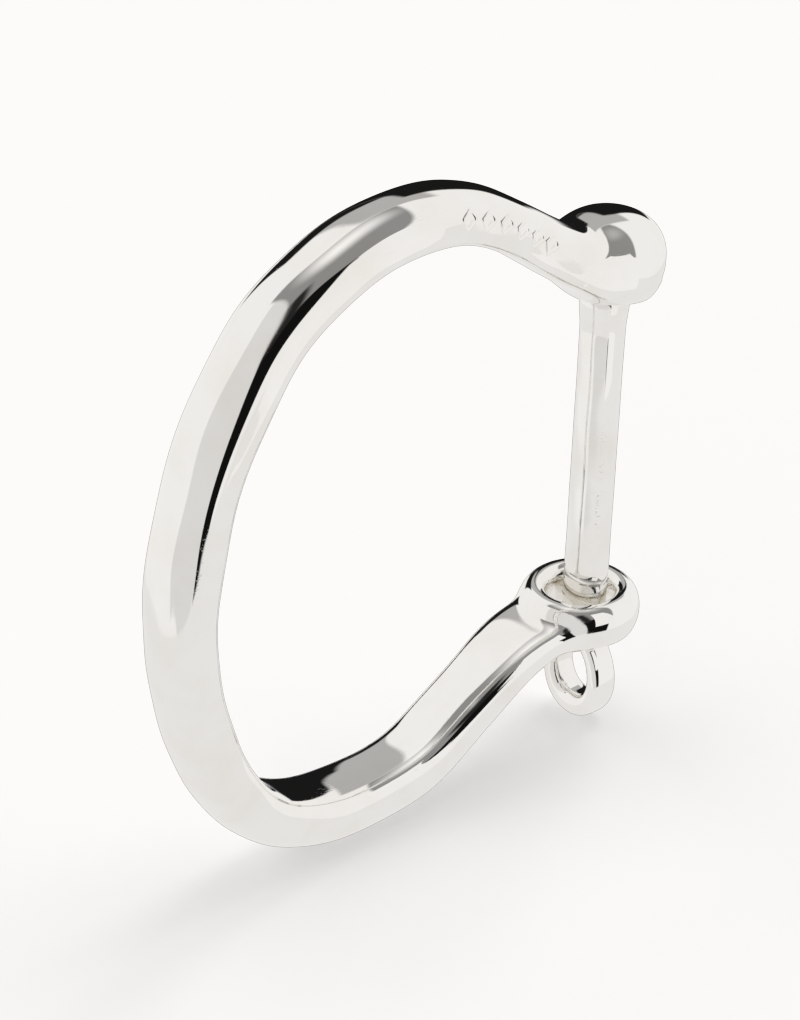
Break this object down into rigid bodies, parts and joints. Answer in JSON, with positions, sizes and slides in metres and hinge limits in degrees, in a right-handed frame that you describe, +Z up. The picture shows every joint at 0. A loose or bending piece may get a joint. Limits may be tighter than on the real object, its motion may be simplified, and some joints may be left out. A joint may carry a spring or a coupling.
{
  "type": "screw pin bangle bracelet",
  "caption": "Rigid bow-shaped metal bangle closed by a round screw pin that runs through an eye into a ball head and ends in a finger loop.",
  "frame": {"origin": "centre of the bounding box in plan, at the surface the bangle stands on", "axes": "+Z up as it stands on the bow and the loop, +X from the bow's back towards the pin, +Y across the band"},
  "size_m": [0.0626, 0.0124, 0.0687],
  "materials": {
    "silver_bow": "mirror-polished silver plate on a casting",
    "silver_pin": "mirror-polished silver plate on a turned pin",
    "silver_loop": "mirror-polished silver plate on a cast loop",
    "brass_bush": "machined brass",
    "steel_stud": "rolled steel thread"
  },
  "bodies": {
    "bow": {"bow": "silver_bow", "socket_bush": "brass_bush"},
    "stud": {"thread_stud": "steel_stud"},
    "pin": {"pin_shank": "silver_pin", "finger_loop": "silver_loop"}
  },
  "joints": [
    {"name": "pin_draw", "type": "slide", "parent": "bow", "child": "stud", "axis": [-0.0593, 0, -0.9982], "range_m": [0, 0.0425]},
    {"name": "pin_turn", "type": "hinge", "parent": "stud", "child": "pin", "pos_m": [0.02427, 0, 0.03322], "axis": [0.0593, 0, 0.9982], "continuous": true}
  ]
}
